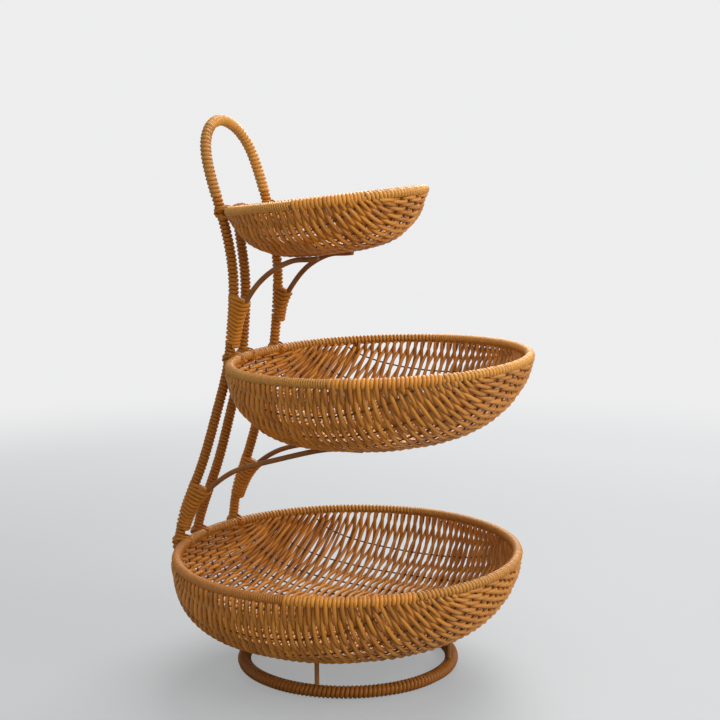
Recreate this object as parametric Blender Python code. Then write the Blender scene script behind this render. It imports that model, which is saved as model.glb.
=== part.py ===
"""Three-tier woven fruit rack: bowls of woven strand on wire hoops, hung on a wound wire stand.

Metres, +Z up, the rack's front towards -Y. The bowls stand one above the other, each smaller
than the one below, and three wound posts behind them run up into the carrying handle.
"""
import math
from collections import namedtuple

import bmesh
import bpy
import numpy as np
from mathutils import Matrix, Vector
from mathutils.bvhtree import BVHTree

# Stock that the rack is made of: wire and strand, by diameter
FRAME_WIRE = 0.0036
FOOT_WIRE = 0.0060
STRUT_WIRE = 0.0040
RIB_WIRE = 0.0020
WEAVE_STRAND = 0.0027
POST_STRAND = 0.0027
RIM_STRAND = 0.0020
FOOT_STRAND = 0.0027
LASHING_STRAND = 0.0026

# Clearances between pieces that touch
GAP = 0.0003
CROSSING_GAP = 0.0002
RIB_GAP = 0.0004
LASHING_EASE = 0.0005
SEAM = 0.0008

# Rims: radius of the hoop's centre line, height and setback of its centre, tilt in degrees
BOTTOM_RIM_RADIUS = 0.1480
MIDDLE_RIM_RADIUS = 0.1264
TOP_RIM_RADIUS = 0.0831
BOTTOM_RIM_HEIGHT = 0.1002
MIDDLE_RIM_HEIGHT = 0.2724
TOP_RIM_HEIGHT = 0.4045
BOTTOM_RIM_SETBACK = 0.0
MIDDLE_RIM_SETBACK = -0.0335
TOP_RIM_SETBACK = 0.0176
BOTTOM_TILT = 0.7
MIDDLE_TILT = 2.3
TOP_TILT = 7.2

# Bowls: depth below the rim, how far the wall stands proud of the wound rim
BOTTOM_DEPTH = 0.0737
MIDDLE_DEPTH = 0.0710
TOP_DEPTH = 0.0454
BOTTOM_PROUD = 0.0004
MIDDLE_PROUD = 0.0004
TOP_PROUD = -0.0011

# Ribs: arc from the outermost rib to the rim, and where the ribs would meet past the rim
BOTTOM_RIB_MARGIN = 0.0390
MIDDLE_RIB_MARGIN = 0.0340
TOP_RIB_MARGIN = 0.0310
RIB_MEETING_SHARE = 1.1

# Foot: radius of the ring and the bearings of its struts, in degrees from +X towards the front
FOOT_RADIUS = 0.0910
STRUT_BEARINGS = (75, 165, 255, 345)

# Posts: half the distance between the side posts where they cross each rim
BOTTOM_POST_REACH = 0.0417
MIDDLE_POST_REACH = 0.0347
TOP_POST_REACH = 0.0356
MIDDLE_POST_SHIFTS = (-0.0070, -0.0085, -0.0010)
POST_DROP = 0.0080
POST_DROP_SETBACK = 0.0019
MIDDLE_POST_STUB = 0.0040

# Bow of the posts between the rims: share of the bay's height, then setback and narrowing
# as shares of that height
SIDE_LOWER_SHARES = ((0.16, 0.016, -0.005), (0.37, -0.001, -0.012), (0.72, -0.011, -0.007))
SIDE_UPPER_SHARES = ((0.12, -0.021, -0.002), (0.58, -0.066, -0.008))
MIDDLE_LOWER_SHARES = ((0.16, 0.0, 0.0), (0.37, -0.019, 0.0), (0.72, -0.018, 0.0))
MIDDLE_UPPER_SHARES = ((0.12, -0.016, 0.0), (0.58, -0.043, 0.0))

# Handle: straight rise above the top rim, then a half ellipse, all leaning back
HANDLE_LEG = 0.0378
HANDLE_RISE = 0.0430
HANDLE_LEAN = 18.0
HANDLE_WINDING_START = 0.0125
HANDLE_LOOPS = 24

# Brackets: lashed stretch of the post as shares of the height from the rim below to the rim
# above, spread at the lashing's top, then the landing under the bowl: its distance to the side
# and behind the rim's centre
MIDDLE_LASHING_LEFT_SHARES = (0.057, 0.295)
MIDDLE_LASHING_RIGHT_SHARES = (0.1325, 0.353)
TOP_LASHING_LEFT_SHARES = (0.0425, 0.368)
TOP_LASHING_RIGHT_SHARES = (0.152, 0.379)
MIDDLE_SPREAD = 0.0180
TOP_SPREAD = 0.0143
MIDDLE_LANDING_SIDE = 0.0300
TOP_LANDING_SIDE = 0.0291
MIDDLE_LANDING_SETBACK = 0.0201
TOP_LANDING_SETBACK = 0.0116
LASHING_PITCH = 0.0060

# Course of a bracket: knee as shares of lashed height and spread, then the free run
# as shares of its length and of its rise
KNEE_SHARES = (0.62, 0.34)
MIDDLE_RUN_SHARES = ((0.16, 0.31), (0.40, 0.555), (0.71, 0.815))
TOP_RUN_SHARES = ((0.35, 0.55), (0.72, 0.87))

RIM_WINDING = FRAME_WIRE / 2 + GAP + RIM_STRAND
POST_WINDING = FRAME_WIRE / 2 + GAP + POST_STRAND
FOOT_WINDING = FOOT_WIRE / 2 + FOOT_STRAND + GAP
STRUT_PROBES = 8

Tier = namedtuple("Tier", "name radius height setback tilt depth proud wall_power floor_power"
                          " lean sectors ribs rib_margin post_reach")
BOTTOM = Tier("bottom", BOTTOM_RIM_RADIUS, BOTTOM_RIM_HEIGHT, BOTTOM_RIM_SETBACK, BOTTOM_TILT,
              BOTTOM_DEPTH, BOTTOM_PROUD, 4.8, 2.0, 0.115, 32, 11, BOTTOM_RIB_MARGIN,
              BOTTOM_POST_REACH)
MIDDLE = Tier("middle", MIDDLE_RIM_RADIUS, MIDDLE_RIM_HEIGHT, MIDDLE_RIM_SETBACK, MIDDLE_TILT,
              MIDDLE_DEPTH, MIDDLE_PROUD, 3.7, 1.65, 0.13, 28, 9, MIDDLE_RIB_MARGIN,
              MIDDLE_POST_REACH)
TOP = Tier("top", TOP_RIM_RADIUS, TOP_RIM_HEIGHT, TOP_RIM_SETBACK, TOP_TILT,
           TOP_DEPTH, TOP_PROUD, 3.7, 1.4, 0.0, 24, 7, TOP_RIB_MARGIN,
           TOP_POST_REACH)
TIERS = (BOTTOM, MIDDLE, TOP)


def clear_scene():
    for item in list(bpy.data.objects):
        bpy.data.objects.remove(item)


def make_material(name, colour, roughness, metallic):
    material = bpy.data.materials.new(name)
    material.use_nodes = True
    shader = material.node_tree.nodes["Principled BSDF"]
    shader.inputs["Base Color"].default_value = (*colour, 1)
    shader.inputs["Roughness"].default_value = roughness
    shader.inputs["Metallic"].default_value = metallic
    material.diffuse_color = (*colour, 1)
    return material


def place_object(name, data, material, rack, matrix=Matrix.Identity(4)):
    """Link a mesh or curve into the scene under the rack's empty."""
    data.materials.append(material)
    item = bpy.data.objects.new(name, data)
    bpy.context.scene.collection.objects.link(item)
    item.parent = rack
    item.matrix_basis = matrix
    return item


def mesh_from(bm, name, smooth_angle):
    """Close a bmesh into a mesh whose faces point out."""
    bmesh.ops.recalc_face_normals(bm, faces=bm.faces)
    mesh = bpy.data.meshes.new(name)
    bm.to_mesh(mesh)
    bm.free()
    mesh.shade_smooth()
    mesh.set_sharp_from_angle(angle=math.radians(smooth_angle))
    return mesh


def add_tube(name, points, diameter, resolution, material, rack):
    """A round wire or strand along the points."""
    curve = bpy.data.curves.new(name, "CURVE")
    curve.dimensions = "3D"
    curve.bevel_depth = diameter / 2
    curve.bevel_resolution = resolution
    curve.use_fill_caps = True
    spline = curve.splines.new("POLY")
    spline.points.add(len(points) - 1)
    for place, point in zip(spline.points, points):
        place.co = (*point, 1)
    return place_object(name, curve, material, rack)


def add_sleeve(name, points, wire, strand, material, rack):
    """Close winding round a wire, as a pipe whose open ends show the wire."""
    resolution = 1
    sides = 4 + 2 * resolution
    outer = wire / 2 + GAP + strand
    sleeve = add_tube(name, points, 2 * outer, resolution, material, rack)
    sleeve.data.use_fill_caps = False
    wall = sleeve.modifiers.new("strand", "SOLIDIFY")
    wall.thickness = outer * math.cos(math.pi / sides) - wire / 2 - GAP
    wall.offset = -1
    wall.use_even_offset = True
    return sleeve


def polygon(bm, centre, radius, sides, phase):
    """Corners of a ring's section, in the XZ plane."""
    corners = []
    for i in range(sides):
        angle = 2 * math.pi * i / sides + phase
        corners.append(bm.verts.new((centre + radius * math.cos(angle), 0,
                                     radius * math.sin(angle))))
    return corners


def add_hoop(name, radius, wire, sides, steps, material, rack, matrix):
    """A closed wire ring."""
    bm = bmesh.new()
    corners = polygon(bm, radius, wire / 2, sides, 0)
    edges = [bm.edges.new((corners[i - 1], corners[i])) for i in range(sides)]
    turn_round(bm, corners + edges, steps, 2 * math.pi)
    bmesh.ops.remove_doubles(bm, verts=bm.verts, dist=wire / 100)
    return place_object(name, mesh_from(bm, name, 60), material, rack, matrix)


def add_ring_winding(name, radius, outer, wire, phase, steps, material, rack, matrix):
    """Close winding round a hoop: a pipe bent to a ring, with its seam open at the back."""
    sides = 8
    bm = bmesh.new()
    outside = polygon(bm, radius, outer, sides, phase)
    bore = (wire / 2 + GAP) / math.cos(math.pi / sides)
    inside = polygon(bm, radius, bore, sides, phase)
    faces = []
    for i in range(sides):
        faces.append(bm.faces.new((outside[i - 1], outside[i], inside[i], inside[i - 1])))
    seam = SEAM / radius
    start = Matrix.Rotation(math.pi / 2 + seam / 2, 4, "Z")
    bmesh.ops.transform(bm, matrix=start, verts=bm.verts)
    turn_round(bm, faces, steps, 2 * math.pi - seam)
    return place_object(name, mesh_from(bm, name, 60), material, rack, matrix)


def turn_round(bm, geometry, steps, angle):
    """Spin a section about the ring's own upright axis."""
    bmesh.ops.spin(bm, geom=geometry, cent=(0, 0, 0), axis=(0, 0, 1), angle=angle, steps=steps)


def tier_matrix(tier):
    """Where a tier's rim lies: its centre, tilted up at the front."""
    centre = Matrix.Translation((0, tier.setback, tier.height))
    return centre @ Matrix.Rotation(-math.radians(tier.tilt), 4, "X")


def lean_matrix(tier):
    """A bowl's floor lies a little behind its rim, more so the deeper it is."""
    lean = Matrix.Identity(4)
    lean[1][2] = -tier.lean
    return lean


def bowl_profile(tier, inset, start_depth, rings=7):
    """(radius, depth) from under the rim to the floor, on a rounded profile inset inwards."""
    radius = tier.radius + RIM_WINDING + tier.proud - inset
    depth = tier.depth - inset
    start = math.asin((start_depth / depth) ** (tier.floor_power / 2))
    points = []
    for i in range(rings + 1):
        angle = start + (math.pi / 2 - start) * i / rings
        across = max(math.cos(angle), 0) ** (2 / tier.wall_power)
        down = math.sin(angle) ** (2 / tier.floor_power)
        points.append((radius * across, depth * down))
    points[-1] = (0, depth)
    return points


def wall_top(tier):
    """Depth at which the woven wall ends, just clear of the wound rim above it."""
    inner = tier.radius + RIM_WINDING + tier.proud - WEAVE_STRAND
    reach = RIM_WINDING + GAP
    return math.sqrt(reach ** 2 - (inner - tier.radius) ** 2)


def add_weave(tier, material, rack):
    """The woven wall and floor of a bowl as one open shell, a strand thick."""
    bm = bmesh.new()
    outer = bowl_profile(tier, 0, wall_top(tier))
    inner = bowl_profile(tier, WEAVE_STRAND, wall_top(tier))
    places = [bm.verts.new((radius, 0, -depth)) for radius, depth in outer[::-1] + inner]
    edges = [bm.edges.new(pair) for pair in zip(places, places[1:])]
    turn_round(bm, places + edges, tier.sectors, 2 * math.pi)
    bmesh.ops.remove_doubles(bm, verts=bm.verts, dist=GAP / 100)
    bmesh.ops.transform(bm, matrix=lean_matrix(tier), verts=bm.verts)
    name = tier.name + "_bowl_weave"
    return place_object(name, mesh_from(bm, name, 60), material, rack, tier_matrix(tier))


def ring_reach(tier, x, y):
    """Corner radius of the bowl's faceted ring that passes through a place in plan."""
    half = math.pi / tier.sectors
    angle = math.atan2(y, x)
    middle = (math.floor(angle / (2 * half)) + 0.5) * 2 * half
    return math.hypot(x, y) * math.cos(angle - middle) / math.cos(half)


def rib_start(tier, arc):
    """Place across the bowl where a rib lies, so many metres of arc from its middle."""
    profile = bowl_profile(tier, rib_inset(), rib_top(), 60)[::-1]
    for (near, low), (far, high) in zip(profile, profile[1:]):
        step = math.hypot(far - near, high - low)
        if arc <= step:
            return near + (far - near) * arc / step
        arc -= step
    return profile[-1][0]


def rib_inset():
    return WEAVE_STRAND + RIB_GAP + RIB_WIRE / 2


def rib_top():
    return RIM_WINDING + RIB_GAP + RIB_WIRE / 2


def rib_arc(tier):
    """Half the arc across a bowl, from its middle to just under the rim."""
    profile = bowl_profile(tier, rib_inset(), rib_top(), 60)
    return sum(math.dist(a, b) for a, b in zip(profile, profile[1:]))


def rib_crossing(tier, across, reach):
    """Distance fore or aft at which a rib crosses one faceted ring of the bowl."""
    meeting = RIB_MEETING_SHARE * tier.radius
    low, high = 0, reach
    for _ in range(40):
        y = (low + high) / 2
        if ring_reach(tier, across * math.sqrt(1 - (y / meeting) ** 2), y) < reach:
            low = y
        else:
            high = y
    return (low + high) / 2


def rib_depth(profile, reach):
    for (far, high), (near, low) in zip(profile, profile[1:]):
        if near <= reach:
            return low + (high - low) * (reach - near) / (far - near)
    return profile[-1][1]


def rib_points(tier, across):
    """A rib from the front rim down, along the floor and up to the back rim."""
    profile = bowl_profile(tier, rib_inset(), rib_top(), 6)
    meeting = RIB_MEETING_SHARE * tier.radius
    half = []
    for reach, depth in profile:
        if reach > ring_reach(tier, across, 0):
            y = rib_crossing(tier, across, reach)
            half.append((across * math.sqrt(1 - (y / meeting) ** 2), y, -depth))
    middle = (across, 0, -rib_depth(profile, ring_reach(tier, across, 0)))
    return [(x, -y, z) for x, y, z in half] + [middle] + half[::-1]


def add_ribs(tier, material, rack):
    """The bowl's bent rods, which run fore and aft and carry the weave."""
    spacing = 2 * (rib_arc(tier) - tier.rib_margin) / (tier.ribs - 1)
    for i in range(tier.ribs):
        number = i - (tier.ribs - 1) // 2
        across = math.copysign(rib_start(tier, abs(number) * spacing), number)
        name = f"{tier.name}_rib_{i + 1:02d}"
        points = rib_points(tier, across)
        matrix = tier_matrix(tier) @ lean_matrix(tier)
        points = [matrix @ Vector(point) for point in points]
        add_tube(name, points, RIB_WIRE, 0, material, rack)


def add_tier(tier, looks, rack):
    """A whole bowl: rim hoop, its winding, the woven shell and the ribs."""
    matrix = tier_matrix(tier)
    back = matrix @ Matrix.Rotation(math.pi / 2, 4, "Z")
    add_hoop(tier.name + "_rim_hoop", tier.radius, FRAME_WIRE, 4, tier.sectors,
             looks["steel"], rack, back)
    add_ring_winding(tier.name + "_rim_winding", tier.radius, RIM_WINDING, FRAME_WIRE, 0,
                     tier.sectors, looks["winding"], rack, matrix)
    add_ribs(tier, looks["rib"], rack)
    return add_weave(tier, looks["weave"], rack)


def surface_over(shell, x, y):
    """Height of a bowl's underside above a place in plan."""
    matrix = shell.matrix_basis
    corners = [matrix @ vertex.co for vertex in shell.data.vertices]
    faces = [face.vertices for face in shell.data.polygons]
    tree = BVHTree.FromPolygons(corners, faces)
    hit, _, _, _ = tree.ray_cast(Vector((x, y, 0)), Vector((0, 0, 1)))
    return hit.z


def add_foot(shell, looks, rack):
    """The wound foot ring, lying on a flat of its winding, and the struts under the bowl."""
    flat = math.pi / 8
    height = FOOT_WINDING * math.cos(flat)
    matrix = Matrix.Translation((0, 0, height))
    add_hoop("foot_hoop", FOOT_RADIUS, FOOT_WIRE, 6, 28, looks["steel"], rack,
             matrix @ Matrix.Rotation(math.pi / 2, 4, "Z"))
    add_ring_winding("foot_winding", FOOT_RADIUS, FOOT_WINDING, FOOT_WIRE, flat, 28,
                     looks["winding"], rack, matrix)
    for i, bearing in enumerate(STRUT_BEARINGS):
        turn = math.radians(bearing)
        x = FOOT_RADIUS * math.cos(turn)
        y = -FOOT_RADIUS * math.sin(turn)
        low = 2 * height + GAP
        high = strut_top(shell, x, y)
        add_tube(f"foot_strut_{i + 1}", [(x, y, low), (x, y, high)], STRUT_WIRE, 2,
                 looks["steel"], rack)


def strut_top(shell, x, y):
    """The lowest height of the bowl above the strut's end, less the gap."""
    heights = [surface_over(shell, x, y)]
    for i in range(STRUT_PROBES):
        turn = 2 * math.pi * i / STRUT_PROBES
        around = (x + STRUT_WIRE / 2 * math.cos(turn), y + STRUT_WIRE / 2 * math.sin(turn))
        heights.append(surface_over(shell, *around))
    return min(heights) - GAP


def spline_through(knots, steps):
    """Natural cubic curve through the knots, with its own number of steps in each interval."""
    knots = np.array(knots, dtype=float)
    chords = np.linalg.norm(np.diff(knots, axis=0), axis=1)
    system = np.eye(len(knots))
    target = np.zeros(knots.shape)
    for i in range(1, len(chords)):
        before, after = chords[i - 1], chords[i]
        system[i, i - 1:i + 2] = before, 2 * (before + after), after
        target[i] = 6 * ((knots[i + 1] - knots[i]) / after - (knots[i] - knots[i - 1]) / before)
    bends = np.linalg.solve(system, target)
    points = []
    for i, chord in enumerate(chords):
        for j in range(steps[i]):
            b = j / steps[i]
            a = 1 - b
            curl = (a ** 3 - a) * bends[i] + (b ** 3 - b) * bends[i + 1]
            points.append(Vector(a * knots[i] + b * knots[i + 1] + curl * chord ** 2 / 6))
    points.append(Vector(knots[-1]))
    return points


def rim_crossing(tier, side):
    """Centre of a post where it passes behind a wound rim, just clear of it."""
    reach = tier.radius + RIM_WINDING + POST_WINDING + CROSSING_GAP
    return tier_matrix(tier) @ Vector((side, math.sqrt(reach ** 2 - side ** 2), 0))


def bay_knots(low, high, shares, outward):
    """Knots of a post between two rims, bowed off the straight line between them."""
    rise = high.z - low.z
    knots = []
    for share, setback, narrowing in shares:
        knot = low.lerp(high, share)
        knots.append(knot + Vector((outward * narrowing * rise, setback * rise, 0)))
    return knots


def post_knots(sides, lower_shares, upper_shares, outward):
    """Knots of one post from its lower end to the top rim."""
    bottom, middle, top = [rim_crossing(tier, side) for tier, side in zip(TIERS, sides)]
    end = bottom + Vector((0, POST_DROP_SETBACK, -POST_DROP))
    knots = [end, bottom] + bay_knots(bottom, middle, lower_shares, outward)
    return knots + [middle] + bay_knots(middle, top, upper_shares, outward) + [top]


POST_STEPS = [1, 2, 2, 3, 3, 2, 4, 4]


def side_post_knots(outward):
    sides = [outward * tier.post_reach for tier in TIERS]
    knots = post_knots(sides, SIDE_LOWER_SHARES, SIDE_UPPER_SHARES, outward)
    lean = math.radians(HANDLE_LEAN)
    return knots + [knots[-1] + HANDLE_LEG * Vector((0, math.sin(lean), math.cos(lean)))]


def handle_path():
    """Points of the wire that is both side posts and the handle, up one side and down."""
    left = side_post_knots(-1)
    right = side_post_knots(1)
    lean = math.radians(HANDLE_LEAN)
    up = Vector((0, math.sin(lean), math.cos(lean)))
    arch = []
    for degrees in range(30, 180, 30):
        turn = math.radians(degrees)
        rise = HANDLE_RISE * math.sin(turn) * up
        arch.append(Vector((left[-1].x * math.cos(turn), left[-1].y, left[-1].z)) + rise)
    leg_steps = POST_STEPS + [3]
    arch_steps = [3] * (len(arch) + 1)
    return spline_through(left + arch + right[::-1], leg_steps + arch_steps + leg_steps[::-1])


def cut_path(points, low, high):
    """The part of a rising path between two heights, with its corners kept."""
    cut = [at_height(points, low)]
    cut += [point for point in points if low < point.z < high]
    return cut + [at_height(points, high)]


def at_height(points, height):
    for start, end in zip(points, points[1:]):
        if start.z <= height <= end.z:
            return start.lerp(end, (height - start.z) / (end.z - start.z))
    return points[0] if height < points[0].z else points[-1]


def least_gap(points, strand, apart):
    """Smallest space between stretches of a tube that lie at least so many points apart."""
    places = np.array(points)
    away = np.linalg.norm(places[:, None] - places[None], axis=2)
    index = np.arange(len(places))
    away[abs(index[:, None] - index[None]) < apart] = np.inf
    return away.min() - strand


def walk(points, share):
    """Place and direction at a share of a path's length."""
    lengths = [(b - a).length for a, b in zip(points, points[1:])]
    left = share * sum(lengths)
    for start, end, length in zip(points, points[1:], lengths):
        if left <= length:
            return start.lerp(end, left / length), (end - start).normalized()
        left -= length
    return points[-1], (points[-1] - points[-2]).normalized()


def add_handle_winding(wire, material, rack):
    """The winding of the handle, turn by turn round the bare wire."""
    per_loop = 8
    start = rim_crossing(TOP, TOP_POST_REACH).z + HANDLE_WINDING_START
    path = [point for point in wire if point.z > start]
    half = len(wire) // 2
    path = [at_height(wire[:half], start)] + path + [at_height(wire[:half - 1:-1], start)]
    radius = (FRAME_WIRE / 2 + GAP + POST_STRAND / 2) / math.cos(math.pi / per_loop)
    lean = math.radians(HANDLE_LEAN)
    across = Vector((0, math.cos(lean), -math.sin(lean)))
    length = sum((b - a).length for a, b in zip(path, path[1:]))
    inset = (POST_STRAND / 2 + GAP) / length
    count = HANDLE_LOOPS * per_loop
    points = []
    for i in range(count + 1):
        centre, along = walk(path, inset + (1 - 2 * inset) * i / count)
        side = (across - across.dot(along) * along).normalized()
        turn = 2 * math.pi * i / per_loop
        out = math.cos(turn) * side + math.sin(turn) * along.cross(side)
        points.append(centre + radius * out)
    print("handle_winding least gap", round(least_gap(points, POST_STRAND, per_loop // 2), 5))
    add_tube("handle_winding", points, POST_STRAND, 1, material, rack)


def lashed_stretch(below, above, shares):
    """Heights between which a lashing holds its bracket to the post."""
    rise = above.height - below.height
    return [below.height + share * rise for share in shares]


def bracket_path(post, tier, shell, lashing, spread, side, setback, shares):
    """Points of a bracket wire from beside the post to its landing under the bowl."""
    low, high = lashing
    low += GAP
    landing = Vector((side, tier.setback + setback, 0))
    landing.z = surface_over(shell, landing.x, landing.y) - FRAME_WIRE / 2 - GAP
    start = at_height(post, low)
    away = Vector((landing.x - start.x, landing.y - start.y, 0)).normalized()
    beside = FRAME_WIRE + GAP
    knee_height = low + (high - low) * KNEE_SHARES[0]
    knee_spread = beside + (spread - beside) * KNEE_SHARES[1]
    knots = [start + beside * away, at_height(post, knee_height) + knee_spread * away]
    top = at_height(post, high) + spread * away
    knots.append(top)
    for run, rise in shares:
        knot = top.lerp(landing, run)
        knot.z = top.z + (landing.z - top.z) * rise
        knots.append(knot)
    knots.append(landing)
    return spline_through(knots, [2, 2] + [2] * (len(shares) + 1))


def add_lashing(name, post, bracket, lashing, material, rack):
    """A strand wound round post and bracket together, wider the further they part."""
    per_end = 5
    low, high = lashing
    low += LASHING_STRAND / 2 + 2 * GAP
    high -= LASHING_STRAND / 2 + 2 * GAP
    loops = round((high - low) / LASHING_PITCH)
    count = loops * 2 * per_end
    radius = FRAME_WIRE / 2 + GAP + LASHING_STRAND / 2 + LASHING_EASE
    points = []
    for i in range(count + 1):
        height = low + (high - low) * i / count
        near = at_height(post, height)
        along = (at_height(post, height + LASHING_PITCH) - near).normalized()
        far = at_height(bracket, height)
        out = far - near
        out = (out - out.dot(along) * along).normalized()
        step = i % (2 * per_end)
        turn = -math.pi / 2 + math.pi * (step - step // per_end) / (per_end - 1)
        centre = far if step < per_end else near
        points.append(centre + radius * (math.cos(turn) * out + math.sin(turn) * along.cross(out)))
    print(name, "least gap", round(least_gap(points, LASHING_STRAND, per_end + 1), 5))
    add_tube(name, points, LASHING_STRAND, 1, material, rack)


def add_side(side_name, wire, shells, looks, rack):
    """One side of the stand: its winding between the lashings, its brackets and lashings."""
    outward = -1 if side_name == "left" else 1
    half = len(wire) // 2
    post = wire[:half] if outward < 0 else wire[:half:-1]
    middle = MIDDLE_LASHING_LEFT_SHARES if outward < 0 else MIDDLE_LASHING_RIGHT_SHARES
    middle = lashed_stretch(BOTTOM, MIDDLE, middle)
    top = TOP_LASHING_LEFT_SHARES if outward < 0 else TOP_LASHING_RIGHT_SHARES
    top = lashed_stretch(MIDDLE, TOP, top)
    winding_top = rim_crossing(TOP, TOP_POST_REACH).z + HANDLE_WINDING_START
    spans = (("lower", post[0].z, middle[0]), ("middle", middle[1], top[0]),
             ("upper", top[1], winding_top))
    for level, low, high in spans:
        add_sleeve(f"{side_name}_post_{level}_winding", cut_path(post, low, high), FRAME_WIRE,
                   POST_STRAND, looks["winding"], rack)
    brackets = (("middle", MIDDLE, shells[1], middle, MIDDLE_SPREAD, MIDDLE_LANDING_SIDE,
                 MIDDLE_LANDING_SETBACK, MIDDLE_RUN_SHARES),
                ("top", TOP, shells[2], top, TOP_SPREAD, TOP_LANDING_SIDE,
                 TOP_LANDING_SETBACK, TOP_RUN_SHARES))
    for level, tier, shell, lashing, spread, reach, setback, shares in brackets:
        points = bracket_path(post, tier, shell, lashing, spread, outward * reach, setback, shares)
        add_tube(f"{level}_bracket_{side_name}", points, FRAME_WIRE, 1, looks["steel"], rack)
        add_lashing(f"{level}_lashing_{side_name}", post, points, lashing, looks["winding"], rack)


def add_middle_post(looks, rack):
    """The third post, which ends at the top rim."""
    knots = post_knots(MIDDLE_POST_SHIFTS, MIDDLE_LOWER_SHARES, MIDDLE_UPPER_SHARES, 0)
    knots.append(knots[-1] + Vector((0, 0, MIDDLE_POST_STUB)))
    points = spline_through(knots, POST_STEPS + [1])
    add_tube("middle_post_wire", points, FRAME_WIRE, 1, looks["steel"], rack)
    add_sleeve("middle_post_winding", points, FRAME_WIRE, POST_STRAND, looks["winding"], rack)


def centre_on_origin(rack):
    """Move the whole rack so that the origin is the middle of its footprint."""
    bpy.context.view_layer.update()
    graph = bpy.context.evaluated_depsgraph_get()
    corners = []
    for item in rack.children:
        solid = item.evaluated_get(graph)
        corners += [item.matrix_world @ vertex.co for vertex in solid.to_mesh().vertices]
        solid.to_mesh_clear()
    lows = [min(corner[i] for corner in corners) for i in range(3)]
    highs = [max(corner[i] for corner in corners) for i in range(3)]
    rack.location = (-(lows[0] + highs[0]) / 2, -(lows[1] + highs[1]) / 2, -lows[2])
    bpy.context.view_layer.update()


def build():
    clear_scene()
    looks = {
        "weave": make_material("woven_strand", (0.46, 0.22, 0.07), 0.5, 0),
        "winding": make_material("wound_strand", (0.40, 0.18, 0.055), 0.5, 0),
        "rib": make_material("brown_lacquered_rib", (0.16, 0.07, 0.03), 0.45, 0),
        "steel": make_material("brown_lacquered_steel", (0.14, 0.06, 0.025), 0.4, 0.3),
    }
    rack = bpy.data.objects.new("rack", None)
    bpy.context.scene.collection.objects.link(rack)
    shells = [add_tier(tier, looks, rack) for tier in TIERS]
    add_foot(shells[0], looks, rack)
    wire = handle_path()
    add_tube("handle_wire", wire, FRAME_WIRE, 1, looks["steel"], rack)
    add_handle_winding(wire, looks["winding"], rack)
    add_side("left", wire, shells, looks, rack)
    add_side("right", wire, shells, looks, rack)
    add_middle_post(looks, rack)
    centre_on_origin(rack)


build()
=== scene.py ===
"""Looks of the three-tier woven fruit rack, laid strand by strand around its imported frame."""
import math
import random
from collections import namedtuple

import bpy
import numpy as np
from mathutils import Matrix, Vector


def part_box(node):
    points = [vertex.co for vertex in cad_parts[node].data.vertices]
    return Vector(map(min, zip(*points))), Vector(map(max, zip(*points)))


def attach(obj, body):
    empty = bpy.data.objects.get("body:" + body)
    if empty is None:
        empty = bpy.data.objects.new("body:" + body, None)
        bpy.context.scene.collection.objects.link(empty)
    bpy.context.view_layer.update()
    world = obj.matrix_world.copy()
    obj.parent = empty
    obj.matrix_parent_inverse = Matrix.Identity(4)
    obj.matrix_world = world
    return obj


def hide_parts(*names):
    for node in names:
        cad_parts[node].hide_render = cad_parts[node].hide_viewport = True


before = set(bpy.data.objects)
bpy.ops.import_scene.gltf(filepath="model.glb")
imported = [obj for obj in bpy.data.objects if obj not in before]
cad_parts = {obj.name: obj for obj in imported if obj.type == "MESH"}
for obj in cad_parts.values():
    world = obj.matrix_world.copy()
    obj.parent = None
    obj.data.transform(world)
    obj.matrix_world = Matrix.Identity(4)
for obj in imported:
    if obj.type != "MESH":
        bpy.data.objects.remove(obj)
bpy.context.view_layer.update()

# Bare steel: 3.6 mm wire for the stand and the hoops, 4 mm for the struts and 6 mm for the foot.
# It is bent and welded first and dipped in dark brown lacquer, and most of it vanishes under
# strand. These wires stay as the solids have them.
LACQUER = (0.17, 0.062, 0.010)
LACQUER_THIN = (0.28, 0.108, 0.020)
LACQUER_ROUGHNESS = 0.5
LACQUER_GLOSS = 0.3
PATCH_SCALE = 70
PATCH_SPAN = (0.35, 0.75)
PEEL_SCALE = 900
PEEL_STRENGTH = 0.12
PEEL_HEIGHT = 0.0002


def finish_material(name, roughness, gloss):
    """A new node material, its node tree and its shader."""
    material = bpy.data.materials.new(name)
    material.use_nodes = True
    tree = material.node_tree
    shader = tree.nodes["Principled BSDF"]
    shader.inputs["Roughness"].default_value = roughness
    shader.inputs["Specular IOR Level"].default_value = gloss
    return material, tree, shader


def add_node(tree, kind, **values):
    """A node with its input sockets set by name."""
    node = tree.nodes.new(kind)
    for name, value in values.items():
        node.inputs[name.replace("_", " ")].default_value = value
    return node


def colour_ramp(tree, factor, low, high, span=(0, 1)):
    """A two-colour ramp driven by a factor."""
    ramp = tree.nodes.new("ShaderNodeValToRGB")
    for element, place, colour in zip(ramp.color_ramp.elements, span, (low, high)):
        element.position = place
        element.color = (*colour, 1)
    tree.links.new(factor, ramp.inputs["Fac"])
    return ramp.outputs["Color"]


def lacquered_steel(name, thick, thin):
    """Brown lacquer, a little thinner in patches, with a faint orange peel."""
    material, tree, shader = finish_material(name, LACQUER_ROUGHNESS, LACQUER_GLOSS)
    place = tree.nodes.new("ShaderNodeTexCoord")
    patches = add_node(tree, "ShaderNodeTexNoise", Scale=PATCH_SCALE, Detail=4)
    peel = add_node(tree, "ShaderNodeTexNoise", Scale=PEEL_SCALE, Detail=2)
    bump = add_node(tree, "ShaderNodeBump", Strength=PEEL_STRENGTH, Distance=PEEL_HEIGHT)
    tree.links.new(place.outputs["Object"], patches.inputs["Vector"])
    tree.links.new(place.outputs["Object"], peel.inputs["Vector"])
    colour = colour_ramp(tree, patches.outputs["Fac"], thick, thin, PATCH_SPAN)
    tree.links.new(colour, shader.inputs["Base Color"])
    tree.links.new(peel.outputs["Fac"], bump.inputs["Height"])
    tree.links.new(bump.outputs["Normal"], shader.inputs["Normal"])
    return material


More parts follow.
